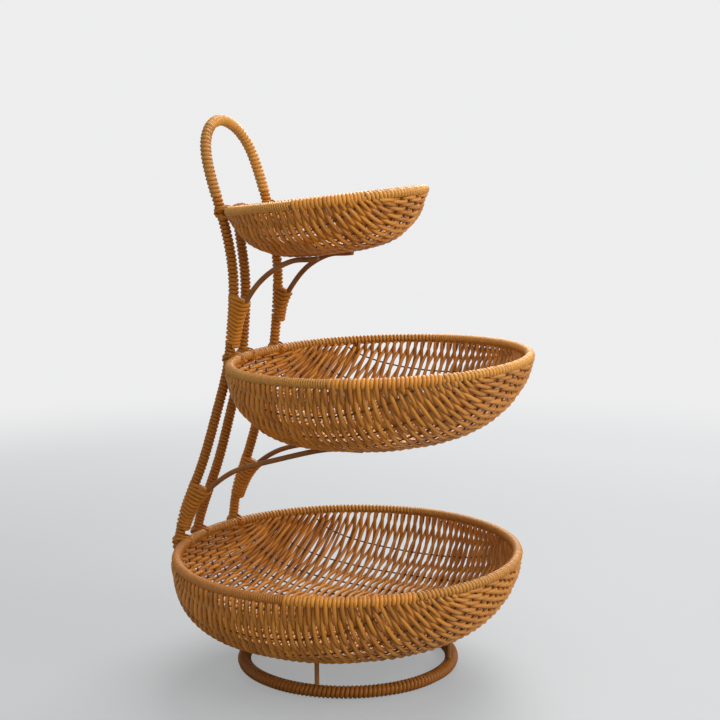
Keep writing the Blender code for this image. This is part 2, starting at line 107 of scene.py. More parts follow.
steel = lacquered_steel("brown_lacquered_steel", LACQUER, LACQUER_THIN)
for node_name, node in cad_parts.items():
    if node_name.endswith(("_hoop", "_wire")) or "_strut_" in node_name:
        node.material_slots[0].material = steel

# Strand: round strands of honey-brown plastic, extruded with a satin skin. Each length comes off
# the reel a little lighter or darker, so the tone of a strand is kept with its own mesh.
STRAND_ROUGHNESS = 0.48
STRAND_TONES = (0.25, 0.85)
# Painted light: how much lighter a strand is drawn where it is wider, round a rim.
WRAP_PAINTED_LIGHT = 0.3
MOTTLE = 0.45
MOTTLE_SCALE = 160
GRAIN_SCALE = 1500
GRAIN_STRENGTH = 0.15
GRAIN_HEIGHT = 0.0002
REEL_SEED = 5
reel = random.Random(REEL_SEED)


def strand_group():
    """Colour and normal of strand, from its tone, its mottling and its fine grain."""
    group = bpy.data.node_groups.new("strand_surface", "ShaderNodeTree")
    face = group.interface
    face.new_socket("Dark", in_out="INPUT", socket_type="NodeSocketColor")
    face.new_socket("Light", in_out="INPUT", socket_type="NodeSocketColor")
    face.new_socket("Color", in_out="OUTPUT", socket_type="NodeSocketColor")
    face.new_socket("Normal", in_out="OUTPUT", socket_type="NodeSocketVector")
    given = group.nodes.new("NodeGroupInput")
    result = group.nodes.new("NodeGroupOutput")
    place = group.nodes.new("ShaderNodeTexCoord")
    tone = group.nodes.new("ShaderNodeAttribute")
    tone.attribute_name = "tone"
    mottle = add_node(group, "ShaderNodeTexNoise", Scale=MOTTLE_SCALE, Detail=3)
    grain = add_node(group, "ShaderNodeTexNoise", Scale=GRAIN_SCALE, Detail=2)
    lift = add_node(group, "ShaderNodeMath")
    lift.operation = "MULTIPLY_ADD"
    lift.inputs[1].default_value = MOTTLE
    lift.inputs[2].default_value = -MOTTLE / 2
    total = add_node(group, "ShaderNodeMath")
    total.operation = "ADD"
    total.use_clamp = True
    mix = group.nodes.new("ShaderNodeMix")
    mix.data_type = "RGBA"
    bump = add_node(group, "ShaderNodeBump", Strength=GRAIN_STRENGTH, Distance=GRAIN_HEIGHT)
    links = group.links
    links.new(place.outputs["Object"], mottle.inputs["Vector"])
    links.new(place.outputs["Object"], grain.inputs["Vector"])
    links.new(mottle.outputs["Fac"], lift.inputs[0])
    links.new(lift.outputs[0], total.inputs[0])
    links.new(tone.outputs["Fac"], total.inputs[1])
    links.new(total.outputs[0], mix.inputs["Factor"])
    links.new(given.outputs["Dark"], mix.inputs["A"])
    links.new(given.outputs["Light"], mix.inputs["B"])
    links.new(grain.outputs["Fac"], bump.inputs["Height"])
    links.new(mix.outputs["Result"], result.inputs["Color"])
    links.new(bump.outputs["Normal"], result.inputs["Normal"])
    return group


strand_surface = strand_group()


def strand_material(name, dark, light, gloss):
    """Satin strand between its dark and light tones."""
    material, tree, shader = finish_material(name, STRAND_ROUGHNESS, gloss)
    surface = tree.nodes.new("ShaderNodeGroup")
    surface.node_tree = strand_surface
    surface.inputs["Dark"].default_value = (*dark, 1)
    surface.inputs["Light"].default_value = (*light, 1)
    tree.links.new(surface.outputs["Color"], shader.inputs["Base Color"])
    tree.links.new(surface.outputs["Normal"], shader.inputs["Normal"])
    return material


def lay_strands(name, runs, diameter, material, nodes, resolution=1):
    """One piece of round strands or rods that stands for CAD nodes.

    Each run is an array of points, with a fourth column where the width changes along it. Where
    a strand is drawn wider, as round a rim, it is painted lighter there, as light that the rim
    catches.
    """
    curve = bpy.data.curves.new(name, "CURVE")
    curve.dimensions = "3D"
    curve.bevel_depth = diameter / 2
    curve.bevel_resolution = resolution
    curve.use_fill_caps = True
    for points in runs:
        spline = curve.splines.new("POLY")
        spline.points.add(len(points) - 1)
        places = np.ones((len(points), 4))
        places[:, :3] = points[:, :3]
        spline.points.foreach_set("co", places.ravel())
        if points.shape[1] == 4:
            spline.points.foreach_set("radius", points[:, 3])
    former = bpy.data.objects.new(name + "_former", curve)
    bpy.context.scene.collection.objects.link(former)
    graph = bpy.context.evaluated_depsgraph_get()
    mesh = bpy.data.meshes.new_from_object(former.evaluated_get(graph))
    bpy.data.objects.remove(former)

    # The mesh has both end caps of every run first, and then the tubes, ring by ring.
    sides = 4 + 2 * resolution
    tones = [reel.uniform(*STRAND_TONES) for _ in runs]
    caps = np.repeat(tones, 2 * sides)
    # Rings where a strand is wider, round a rim, are painted lighter, as light that the rim
    # catches.
    lit_wraps = [(points[:, 3:] > 1).any(axis=1) for points in runs]
    tubes = np.concatenate([np.repeat(tone + WRAP_PAINTED_LIGHT * on_lit_wrap, sides)
                            for tone, on_lit_wrap in zip(tones, lit_wraps)])
    tone = mesh.attributes.new("tone", "FLOAT", "POINT")
    tone.data.foreach_set("value", np.concatenate([caps, tubes]).astype(np.float32))
    mesh.materials.clear()
    mesh.materials.append(material)
    piece = bpy.data.objects.new(name, mesh)
    bpy.context.scene.collection.objects.link(piece)
    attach(piece, "root")
    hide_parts(*nodes)


# Bowls: each hangs inside a wire hoop. Thin rods run fore and aft under it as ribs, and one strand
# after another is laid across them, over one rib and under the next, from the front to the back.
# The hoop is then close wound, in places with the strand ends themselves.
WEAVE_DARK = (0.275, 0.086, 0.0045)
WEAVE_LIGHT = (0.555, 0.217, 0.020)
# Painted light: the rim windings and the handle get a paler, yellower copy of the strand than the
# weave, for the stronger light and sheen that they catch.
RIM_LIT_DARK = (0.28, 0.102, 0.0085)
RIM_LIT_LIGHT = (0.575, 0.262, 0.035)
# Painted shade: the ribs' lacquer is drawn darker than the other steel's, for the shade they lie in
# among the strands.
RIB_SHADED_LACQUER = (0.115, 0.046, 0.012)
WEAVE_GLOSS = 0.45
woven = strand_material("woven_strand", WEAVE_DARK, WEAVE_LIGHT, WEAVE_GLOSS)
rim_strand = strand_material("rim_strand", RIM_LIT_DARK, RIM_LIT_LIGHT, WEAVE_GLOSS)
shaded_rib_steel = lacquered_steel("shaded_lacquered_steel", RIB_SHADED_LACQUER, LACQUER)

# A bowl's rim has a radius, a height, a setback from the foot's middle and a tilt in degrees, up
# at the front. The basket in it has a depth and an outer radius, and powers that say how square
# it is: high ones give a steep wall and a flat floor. Its floor lies back by the lean. Last come
# the number of its ribs and the pitches of its ribs and its rows of weave.
Tier = namedtuple("Tier", "name radius height setback tilt depth outer wall_power floor_power"
                          " lean ribs rib_pitch row_pitch")
BOTTOM = Tier("bottom", radius=0.1480, height=0.1002, setback=0.0, tilt=0.7,
              depth=0.0737, outer=0.1525, wall_power=4.8, floor_power=2.0, lean=0.115,
              ribs=13, rib_pitch=0.0247, row_pitch=0.0034)
MIDDLE = Tier("middle", radius=0.1264, height=0.2724, setback=-0.0335, tilt=2.3,
              depth=0.0710, outer=0.1309, wall_power=3.7, floor_power=1.65, lean=0.13,
              ribs=11, rib_pitch=0.0260, row_pitch=0.0034)
TOP = Tier("top", radius=0.0831, height=0.4045, setback=0.0176, tilt=7.2,
           depth=0.0454, outer=0.0861, wall_power=3.7, floor_power=1.4, lean=0.0,
           ribs=7, rib_pitch=0.0247, row_pitch=0.0031)
TIERS = (BOTTOM, MIDDLE, TOP)
foot_low, foot_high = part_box("foot_winding")
rack_centre = (foot_low + foot_high) / 2

# Ribs lie RIB_INSET in from the outer face of the weave. They draw together fore and aft, and
# would meet RIB_MEETING rim radii from the middle.
HOOP_WIRE = 0.0036
RIB_ROD = 0.0015
RIB_INSET = 0.0040
RIB_MEETING = 1.1
RIB_STEP = 0.006
RIB_SAMPLES = 400

# The first and last rows of weave lie ROW_START along the bowl from its rim, and each row slips a
# little from its even place. Rows end ROW_TOP below the middle of the hoop's wire, clear of the
# very front and back. Those that cross the bowl's middle beyond CLIMB_FROM of its radius begin to
# lie level and climb late, and from CLIMB_FULL on they do so fully.
WEAVE_STRAND = 0.0036
WEAVE_SWING = 0.0025
ROW_START = 0.0045
ROW_SLIP = 0.0003
ROW_TOP = 0.004
ROW_SAMPLES = 240
PROFILE_SAMPLES = 2000
RIM_CLEAR = math.radians(20)
CLIMB_FROM = 0.5
CLIMB_FULL = 0.95
CLIMB_POWER = 0.34
LAST_RIB_MARGIN = 0.006
POINT_STEP = 0.0045
FEWEST_POINTS = 3
MOST_POINTS = 6

# Neighbouring rows close up in pairs and part again beside the ribs, by these shares of their
# pitch. On the right wall, from OPEN_UP of the way out and between OPEN_BACK and OPEN_FRONT of the
# rim's radius, they stand more open. The rim's near side lies between the bearings NEAR_SIDE.
RIM_PINCH = 0.56
NEAR_PINCH = 0.12
NEAR_SIDE = (55, 195)
RIB_PINCH = 0.14
OPEN_PINCH = 0.44
PINCH_SPREAD = 1.6
OPEN_UP = 0.45
OPEN_BACK = -0.85
OPEN_FRONT = 0.5
OPEN_FADE = 0.3
OPEN_THINNING = 0.12

# Strand ends are tucked up beside the hoop. Between the bearings WRAPPED they go round it, those
# that come from outside inwards and the others outwards. Bearings are in degrees, from the right
# by way of the front.
TUCK_OUT = 0.0008
TUCK_UNDER = 0.0028
WRAPPED = (127, 168)
WRAP_REACH = 0.0047
WRAP_WIDTH = 1.12
WRAP_STARTS = {1: -20, -1: 200}
WRAP_STEP = 29
WRAP_POINTS = 11

# The winding of a rim, by stretches: from bearing to bearing, its strand, the pitch of its turns
# and how far they reach from the middle of the hoop's wire.
RIM_STRETCHES = ((-6, 66, 0.0021, 0.0021, 0.0043), (66, 127, 0.0038, 0.0037, 0.0043),
                 (127, 168, 0.0016, 0.0017, 0.0034), (168, 252, 0.0021, 0.0021, 0.0043),
                 (252, 354, 0.0036, 0.0034, 0.0043))
# On the bottom bowl the left stretch gets no painted light and is as brown as the weave below it.
WEAVE_COLOURED_STRETCH = ("bottom", 4)
TURN_POINTS = 8


def rim_place(tier):
    """Where a rim lies: its centre, tilted up at the front."""
    centre = Vector((0, rack_centre.y + tier.setback, tier.height))
    return Matrix.Translation(centre) @ Matrix.Rotation(-math.radians(tier.tilt), 4, "X")


def bowl_place(tier):
    """As the rim, with the floor a little behind it."""
    lean = Matrix.Identity(4)
    lean[1][2] = -tier.lean
    return rim_place(tier) @ lean


def placed(matrix, points):
    """Points moved to their place, and any widths with them."""
    points = np.array(points)
    points[:, :3] = points[:, :3] @ np.array(matrix.to_3x3()).T + np.array(matrix.translation)
    return points


def arc_along(*measures):
    """Length so far along a polyline, from its measures across, forward or down."""
    steps = np.linalg.norm(np.diff(np.stack(measures, 1), axis=0), axis=1)
    return np.concatenate([[0], np.cumsum(steps)])


def resample(places, step):
    """Points at even steps along a polyline."""
    arc = arc_along(*places.T)
    even = np.linspace(0, arc[-1], round(arc[-1] / step) + 1)
    return np.stack([np.interp(even, arc, places[:, i]) for i in range(3)], 1)


def rib_bed(tier):
    """Radius and depth of the surface, midway in the weave, that the ribs lie in."""
    return tier.outer - RIB_INSET, tier.depth - RIB_INSET


def half_row(tier, middle, end=math.pi / 2):
    """Half a weaver's course, from the bowl's middle to under the hoop: arc, across, forward, down.

    Over the floor it runs nearly straight. On the front and back walls it lies level at first and
    climbs to the rim at its end, which is counted from the front or the back.
    """
    radius, depth = rib_bed(tier)
    low = math.acos((abs(middle) / radius) ** (tier.wall_power / 2))
    high = math.asin((ROW_TOP / depth) ** (tier.floor_power / 2))
    angle = low - (low - high) * np.linspace(0, 1, ROW_SAMPLES) ** 2
    reach = radius * np.cos(angle) ** (2 / tier.wall_power)
    down = depth * np.sin(angle) ** (2 / tier.floor_power)
    climb = arc_along(reach, down)
    share = climb / climb[-1]
    level = abs(middle) + (reach[-1] * math.cos(end) - abs(middle)) * share ** 2
    sloping = reach * np.cos(end * share ** CLIMB_POWER)
    onward = min(1, max(0, (abs(middle) / radius - CLIMB_FROM) / (CLIMB_FULL - CLIMB_FROM)))
    forward = math.copysign(1, middle) * (level + (sloping - level) * onward)
    across = np.sqrt(np.maximum(reach ** 2 - forward ** 2, 0))
    return arc_along(across, forward, down), across, forward, down


def outward(tier, places):
    """Outward normals of the bowl at places (across, forward, height)."""
    radius, depth = rib_bed(tier)
    x, v, w = places.T
    wall = tier.wall_power * np.hypot(x, v) ** (tier.wall_power - 2) / radius ** tier.wall_power
    floor = tier.floor_power * (-w) ** (tier.floor_power - 1)
    normal = np.stack([wall * x, wall * v, -floor / depth ** tier.floor_power], 1)
    return normal / np.linalg.norm(normal, axis=1)[:, None]


def rib_reaches(tier):
    """How far across the middle of the bowl each rib crosses it."""
    arc, across, _, _ = half_row(tier, 0)
    half = tier.ribs // 2
    return [math.copysign(np.interp(abs(i) * tier.rib_pitch, arc, across), i)
            for i in range(-half, half + 1)]


def rib_run(tier, reach):
    """Course of a rib from under the front of the hoop to under its back."""
    radius, depth = rib_bed(tier)
    meeting = RIB_MEETING * tier.radius
    end = math.sqrt((radius ** 2 - reach ** 2) / (1 - (reach / meeting) ** 2))
    forward = end * np.sin(np.linspace(-1, 1, RIB_SAMPLES) * math.pi / 2)
    across = reach * np.sqrt(1 - (forward / meeting) ** 2)
    share = np.clip(np.hypot(across, forward) / radius, 0, 1) ** tier.wall_power
    down = depth * (1 - share) ** (1 / tier.floor_power)
    places = np.stack([across, -forward, -down], 1)[down > HOOP_WIRE / 2 + RIB_ROD]
    return resample(places, RIB_STEP)


def row_middles(tier):
    """How far forward each weaver crosses the bowl's middle, at even steps, and where it ends.

    The ends are evenly spaced too, but for a stretch at the front and at the back of the rim.
    """
    radius, depth = rib_bed(tier)
    angle = np.linspace(0, math.pi, PROFILE_SAMPLES)
    forward = radius * np.sign(np.cos(angle)) * abs(np.cos(angle)) ** (2 / tier.wall_power)
    down = depth * np.sin(angle) ** (2 / tier.floor_power)
    arc = arc_along(forward, down)
    count = round((arc[-1] - 2 * ROW_START) / tier.row_pitch)
    places = np.linspace(ROW_START, arc[-1] - ROW_START, count)
    places += [reel.uniform(-ROW_SLIP, ROW_SLIP) for _ in places]
    half = arc[-1] / 2
    ends = RIM_CLEAR + (math.pi / 2 - RIM_CLEAR) * (1 - abs(places - half) / half)
    return zip(np.interp(places, arc, forward), ends)


def rim_turn(tier, side, forward):
    """Bearing at which a weaver meets its hoop."""
    return math.atan2(forward, side * math.sqrt(tier.radius ** 2 - forward ** 2))


def in_stretch(turn, stretch):
    """Whether a bearing lies in a stretch of the rim."""
    return stretch[0] < math.degrees(turn) % 360 < stretch[1]


def edge_pinch(turn):
    """Neighbours close up in pairs under the far rim, and hardly on the near side."""
    return NEAR_PINCH if in_stretch(turn, NEAR_SIDE) else RIM_PINCH


def openness(tier, share, forward):
    """How open the weave is at a share of the way from the middle, which is 1 at the right rim."""
    ahead = forward / tier.radius
    return (np.clip((share - OPEN_UP) / OPEN_FADE, 0, 1)
            * np.clip((ahead - OPEN_BACK) / OPEN_FADE, 0, 1)
            * np.clip((OPEN_FRONT - ahead) / OPEN_FADE, 0, 1))


def rib_pinch(opening):
    """How far neighbours part beside a rib."""
    return reel.uniform(0, PINCH_SPREAD) * (RIB_PINCH + (OPEN_PINCH - RIB_PINCH) * opening)


def rim_end(tier, turn, swing):
    """A weaver's end: round the hoop on the left front, or tucked up under the rim's winding."""
    across = np.array([math.cos(turn), math.sin(turn), 0])
    up = np.array([0, 0, 1])
    hoop = tier.radius * across
    if not in_stretch(turn, WRAPPED):
        return np.array([[*(hoop + TUCK_OUT * swing * across - TUCK_UNDER * up), 1]])
    radius = WRAP_REACH - WEAVE_STRAND / 2
    way = 1 if swing > 0 else -1
    lies = np.radians(WRAP_STARTS[way] + way * WRAP_STEP * np.arange(WRAP_POINTS))
    return np.array([[*(hoop + radius * (math.cos(a) * across + math.sin(a) * up)), WRAP_WIDTH]
                     for a in lies])


def rib_crossings(tier, reaches, half):
    """Where along its course, negative to the left, a weaver crosses the ribs that it reaches."""
    arc, across, forward, _ = half
    spread = np.sqrt(1 - (forward / (RIB_MEETING * tier.radius)) ** 2)
    crossings = []
    for index, reach in enumerate(reaches):
        place = np.interp(abs(reach), across / spread, arc)
        if place < arc[-1] - LAST_RIB_MARGIN:
            crossings.append((math.copysign(place, reach), index))
    return crossings


def outside(row, rib):
    """1 where a weaver passes outside a rib, and -1 where it passes inside."""
    return 1 if (rib + row) % 2 else -1


def weave_row(tier, row, reaches, half):
    """Course of one weaver, from the left rim over and under the ribs to the right rim."""
    arc, across, forward, down = half
    crossings = rib_crossings(tier, reaches, half)
    first, last = crossings[0][1] - 1, crossings[-1][1] + 1
    stations = [(-arc[-1], first)] + crossings + [(arc[-1], last)]
    left, right = rim_turn(tier, -1, forward[-1]), rim_turn(tier, 1, forward[-1])
    run, swing, pinch, before = [], [], [], edge_pinch(left)
    for (start, rib), (end, _) in zip(stations, stations[1:]):
        points = max(FEWEST_POINTS, min(MOST_POINTS, round((end - start) / POINT_STEP)))
        share = np.arange(points) / points
        run.append(start + (end - start) * share)
        swing.append(outside(row, rib) * np.cos(math.pi * share))
        opening = openness(tier, end / arc[-1], np.interp(end, arc, forward))
        after = edge_pinch(right) if end == arc[-1] else rib_pinch(opening)
        pinch.append(before + (after - before) * share)
        before = after
    run = np.concatenate(run + [[arc[-1]]])
    swing = np.concatenate(swing + [[outside(row, last)]])
    pinch = np.concatenate(pinch + [[before]])

    x, v, w = (np.interp(abs(run), arc, values) for values in (across, forward, down))
    places = np.stack([np.sign(run) * x, v, -w], 1)
    normal = outward(tier, places)
    tangent = np.gradient(places, axis=0)
    tangent /= np.linalg.norm(tangent, axis=1)[:, None]
    aside = np.cross(tangent, normal)
    aside *= np.sign(aside[:, 1:2])
    shift = (pinch * tier.row_pitch * swing)[:, None] * aside
    course = places + WEAVE_SWING * swing[:, None] * normal + shift
    width = 1 - OPEN_THINNING * openness(tier, run / arc[-1], v)
    course = np.concatenate([rim_end(tier, left, swing[0])[::-1],
                             np.column_stack([course, width]), rim_end(tier, right, swing[-1])])
    course[:, 1] *= -1
    return course


def weave_rows(tier):
    """Courses of all weavers of a bowl, from the front to the back."""
    reaches = rib_reaches(tier)
    return [weave_row(tier, row, reaches, half_row(tier, middle, end))
            for row, (middle, end) in enumerate(row_middles(tier))]


def rim_turns(tier, start, end, strand, pitch, wrap):
    """Winding round the hoop between two bearings."""
    radius = wrap - strand / 2
    turns = round(math.radians(end - start) * tier.radius / pitch)
    k = np.arange(turns * TURN_POINTS + 1)
    turn = np.radians(start + (end - start) * k / k[-1])
    lie = 2 * math.pi * k / TURN_POINTS
    reach = tier.radius + radius * np.cos(lie)
    return np.stack([reach * np.cos(turn), -reach * np.sin(turn), radius * np.sin(lie)], 1)


for tier in TIERS:
    bowl = bowl_place(tier)
    rows = [placed(bowl, row) for row in weave_rows(tier)]
    lay_strands(tier.name + "_weave", rows, WEAVE_STRAND, woven,
                [tier.name + "_bowl_weave"])
    rods = [placed(bowl, rib_run(tier, reach)) for reach in rib_reaches(tier)]
    rib_nodes = [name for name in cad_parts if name.startswith(tier.name + "_rib_")]
    lay_strands(tier.name + "_ribs", rods, RIB_ROD, shaded_rib_steel, rib_nodes)
    # Rim windings take that painted light, but for one stretch on the bottom bowl.
    for number, (start, end, strand, pitch, wrap) in enumerate(RIM_STRETCHES, 1):
        turns = placed(rim_place(tier), rim_turns(tier, start, end, strand, pitch, wrap))
        lay_strands(f"{tier.name}_rim_strand_{number}", [turns], strand,
                    woven if (tier.name, number) == WEAVE_COLOURED_STRETCH else rim_strand,
                    [tier.name + "_rim_winding"])

# Stand: one long wire is left post, handle and right post, and a shorter one is the middle post.
# They are close wound with strand, and pass behind the three rims.
# Painted shade: the strand of the posts, ties and lashings is drawn darker than the weave's, for
# the shade they stand in behind the bowls.
POST_SHADED_DARK = (0.23, 0.067, 0.0033)
POST_SHADED_LIGHT = (0.47, 0.170, 0.011)
WOUND_GLOSS = 0.25
wound = strand_material("wound_strand", POST_SHADED_DARK, POST_SHADED_LIGHT, WOUND_GLOSS)

POST_STRAND = 0.0036
POST_PITCH = 0.0034
POST_REACH = 0.0048
POST_CLEAR = 0.0002
RIM_REACH = 0.0041
COURSE_STEP = 0.0005
FINE_STEP = 0.0002

# How far from the middle the side posts and the middle post pass the three rims, and how they
# bend between them: at a share of the rise, and how far back and out they lie there, in rises.
SIDE_POST = (0.0417, 0.0347, 0.0356)
MIDDLE_POST = (-0.0070, -0.0085, -0.0010)
SIDE_LOWER = ((0.16, 0.016, -0.005), (0.37, -0.001, -0.012), (0.72, -0.011, -0.007))
SIDE_UPPER = ((0.12, -0.021, -0.002), (0.58, -0.066, -0.008))
MIDDLE_LOWER = ((0.16, 0.0, 0.0), (0.37, -0.019, 0.0), (0.72, -0.018, 0.0))
MIDDLE_UPPER = ((0.12, -0.016, 0.0), (0.58, -0.043, 0.0))
POST_END = Vector((0, 0.0019, -0.008))
POST_STUB = Vector((0, 0, 0.004))

# Above the top rim the side posts rise into the handle, which leans back. Their winding goes on a
# little way up, to where the handle's starts. Where a bracket is lashed on, between the heights
# LASHED, it stops, and its ends are tucked under the lashing.
HANDLE_LEAN = math.radians(18)
HANDLE_UP = Vector((0, math.sin(HANDLE_LEAN), math.cos(HANDLE_LEAN)))
LEG_RISE = 0.0378
ARCH_RISE = 0.043
ARCH_STEP = 30
POST_WOUND_UP = 0.0125
TUCK = 0.003
LASHED = {("left", "middle"): (0.1100, 0.1510), ("right", "middle"): (0.1230, 0.1610),
          ("left", "top"): (0.2780, 0.3210), ("right", "top"): (0.2925, 0.3225)}


def curve_through(knots, steps=12):
    """Natural cubic curve through the knots."""
    knots = np.array(knots, dtype=float)
    chords = np.linalg.norm(np.diff(knots, axis=0), axis=1)
    system = np.eye(len(knots))
    target = np.zeros(knots.shape)
    for i in range(1, len(chords)):
        before, after = chords[i - 1], chords[i]
        system[i, i - 1:i + 2] = before, 2 * (before + after), after
        target[i] = 6 * ((knots[i + 1] - knots[i]) / after - (knots[i] - knots[i - 1]) / before)
    bends = np.linalg.solve(system, target)
    b = (np.arange(steps) / steps)[:, None]
    a = 1 - b
    points = [a * knots[i] + b * knots[i + 1] + chord ** 2 / 6
              * ((a ** 3 - a) * bends[i] + (b ** 3 - b) * bends[i + 1])
              for i, chord in enumerate(chords)]
    return np.concatenate(points + [knots[-1:]])


def rim_crossing(tier, across):
    """Centre of a post where it passes behind a rim."""
    reach = tier.radius + RIM_REACH + POST_REACH + POST_CLEAR
    return rim_place(tier) @ Vector((across, math.sqrt(reach ** 2 - across ** 2), 0))


def bay_knots(low, high, bends, side):
    """Points that a post bends through between two rims."""
    rise = high.z - low.z
    return [low.lerp(high, share) + Vector((side * out * rise, back * rise, 0))
            for share, back, out in bends]


def post_knots(crossings, lower, upper, side):
    """Points that a post runs through, from below the bottom rim to the top rim."""
    bottom, middle, top = [rim_crossing(tier, across) for tier, across in zip(TIERS, crossings)]
    return ([bottom + POST_END, bottom] + bay_knots(bottom, middle, lower, side) + [middle]
            + bay_knots(middle, top, upper, side) + [top])


def stand_knots(side):
    """Points of a side post and of the handle's leg above it."""
    knots = post_knots([side * across for across in SIDE_POST], SIDE_LOWER, SIDE_UPPER, side)
    return knots + [knots[-1] + LEG_RISE * HANDLE_UP]


def stand_path():
    """Course of the stand's wire: up the left post, over the handle and down the right post."""
    left, right = stand_knots(-1), stand_knots(1)
    arch = []
    for degrees in range(ARCH_STEP, 180, ARCH_STEP):
        turn = math.radians(degrees)
        arch.append(Vector((left[-1].x * math.cos(turn), left[-1].y, left[-1].z))
                    + ARCH_RISE * math.sin(turn) * HANDLE_UP)
    return curve_through(left + arch + right[::-1])


def wind(path, pitch, strand, reach, start=(1, 0, 0)):
    """Strand wound round a wire's course, from the side of the wire where it starts."""
    course = resample(path, COURSE_STEP)
    arc = arc_along(*course.T)
    turns = round(arc[-1] / pitch)
    k = np.arange(turns * TURN_POINTS + 1)
    place = arc[-1] * k / k[-1]
    centre = np.stack([np.interp(place, arc, course[:, i]) for i in range(3)], 1)
    slope = np.gradient(course, arc, axis=0)
    along = np.stack([np.interp(place, arc, slope[:, i]) for i in range(3)], 1)
    along /= np.linalg.norm(along, axis=1)[:, None]
    side = np.array(start) - (along @ np.array(start))[:, None] * along
    side /= np.linalg.norm(side, axis=1)[:, None]
    lie = (2 * math.pi * k / TURN_POINTS)[:, None]
    radius = reach - strand / 2
    return centre + radius * (np.cos(lie) * side - np.sin(lie) * np.cross(along, side))


def between(path, low, high):
    """The part of a post between two heights."""
    fine = resample(path, FINE_STEP)
    return fine[(fine[:, 2] >= low) & (fine[:, 2] <= high)]


stand = stand_path()
half = len(stand) // 2
posts = {"left": stand[:half], "right": stand[:half:-1]}
winding_top = rim_crossing(TOP, SIDE_POST[-1]).z + POST_WOUND_UP
for side, path in posts.items():
    middle, top = LASHED[side, "middle"], LASHED[side, "top"]
    spans = (("lower", path[0, 2], middle[0] + TUCK), ("middle", middle[1] - TUCK, top[0] + TUCK),
             ("upper", top[1] - TUCK, winding_top))
    for level, low, high in spans:
        turns = wind(between(path, low, high), POST_PITCH, POST_STRAND, POST_REACH)
        lay_strands(f"{side}_post_{level}_strand", [turns], POST_STRAND, wound,
                    [f"{side}_post_{level}_winding"])
knots = post_knots(MIDDLE_POST, MIDDLE_LOWER, MIDDLE_UPPER, 0)
middle_post = curve_through(knots + [knots[-1] + POST_STUB])
lay_strands("middle_post_strand", [wind(middle_post, POST_PITCH, POST_STRAND, POST_REACH)],
            POST_STRAND, wound, ["middle_post_winding"])

# Ties: where a post passes behind a rim, thin strand is drawn tight round both, slanting one way
# and then the other, so that its turns cross.
TIE_STRAND = 0.0023
TIE_TURNS = 2
TIE_POINTS = 12
TIE_SLANT = math.radians(52)
TIE_REACH = 0.0055
TIE_CUSHION = 0.0002


def tie(tier, across, slant):
    """A few slanting turns round a rim and the post behind it."""
    crossing = rim_crossing(tier, across)
    post = np.array(crossing)
    rim = rim_place(tier)
    away = crossing - rim.translation
    away.z = 0
    away.normalize()
    away = np.array(away)
    hoop = np.array(rim.translation) + tier.radius * away
    hoop[2] = post[2]
    upright = np.array([0, 0, 1])
    sideways = np.cross(upright, away)
    slanting = math.cos(slant) * sideways + math.sin(slant) * upright
    beside = -math.sin(slant) * sideways + math.cos(slant) * upright
    depth = (RIM_REACH + POST_REACH) / 2 + POST_REACH + TIE_CUSHION
    k = np.arange(TIE_TURNS * TIE_POINTS + 1)
    turn = (2 * math.pi * k / TIE_POINTS)[:, None]
    slide = (TIE_STRAND * (k / TIE_POINTS - TIE_TURNS / 2))[:, None]
    return ((hoop + post) / 2 + depth * np.cos(turn) * away
            + TIE_REACH * np.sin(turn) * slanting + slide * beside)


for tier, side_post, middle in zip(TIERS, SIDE_POST, MIDDLE_POST):
    turns = [tie(tier, across, slant) for across in (-side_post, middle, side_post)
             for slant in (TIE_SLANT, math.pi - TIE_SLANT)]
    lay_strands(tier.name + "_rim_ties", turns, TIE_STRAND, wound,
                [tier.name + "_rim_winding"])

# Handle: the top of the stand's wire, wound with a thick strand up both legs, for two fifths of the
# loop each, and with a fine one over the crown, where the turns lie so close that it looks smooth.
LEG_STRAND = 0.0046
LEG_PITCH = 0.0036
CROWN_STRAND = 0.0021
HANDLE_REACH = 0.0051
CROWN_OVERLAP = 2
handle_side = (0, math.cos(HANDLE_LEAN), -math.sin(HANDLE_LEAN))
loop = resample(stand[stand[:, 2] > winding_top - TUCK], COURSE_STEP)
leg = len(loop) * 2 // 5
crown = loop[leg - CROWN_OVERLAP:CROWN_OVERLAP - leg]
# The handle's strand takes the same painted light as the rims, for the light it catches on top.
for part, stretch, pitch, strand in (("left", loop[:leg], LEG_PITCH, LEG_STRAND),
                                     ("crown", crown, CROWN_STRAND, CROWN_STRAND),
                                     ("right", loop[-leg:], LEG_PITCH, LEG_STRAND)):
    turns = wind(stretch, pitch, strand, HANDLE_REACH, handle_side)
    lay_strands(f"handle_{part}_strand", [turns], strand, rim_strand,
                ["handle_winding"])

# Brackets: short lacquered wires, bent in a bow and lashed to the side posts, that carry the
# middle and the top bowl. Each lashing is one strand round post and bracket together, wider the
# further they part.
BRACKET_WIRE = 0.0046
BRACKET_ROUNDNESS = 3
BRACKET_CLEAR = 0.0003

# A bracket leaves its post at the bottom of the lashing, parts from it faster above the knee and
# stands SPREADS off it at the top. From there it runs in a bow, given as shares of the way and of
# the rise, to its landing under the bowl, to the side and forward of the middle, and runs on.
KNEE = 0.62
KNEE_SPREAD = 0.34
SPREADS = {"middle": 0.0180, "top": 0.0143}
BOWS = {"middle": ((0.16, 0.31), (0.40, 0.555), (0.71, 0.815)), "top": ((0.35, 0.55), (0.72, 0.87))}
LANDINGS = {"middle": (0.0300, 0.0201), "top": (0.0291, 0.0116)}
RUN_ON = (0.010, 0.020)
SETTLING_ROUNDS = 12

LASHING_STRAND = 0.0039
LASHING_PITCH = 0.0034
LASHING_INSET = 0.0008
LASHING_CUSHION = 0.0002
LASHING_SLANT = 0.002
SLANT_GROWS_OVER = 0.012
DIRECTION_STEP = 0.006
END_POINTS = 7


def at_height(path, height):
    """Where a post or a bracket is at a height."""
    return np.array([np.interp(height, path[:, 2], path[:, i]) for i in range(3)])


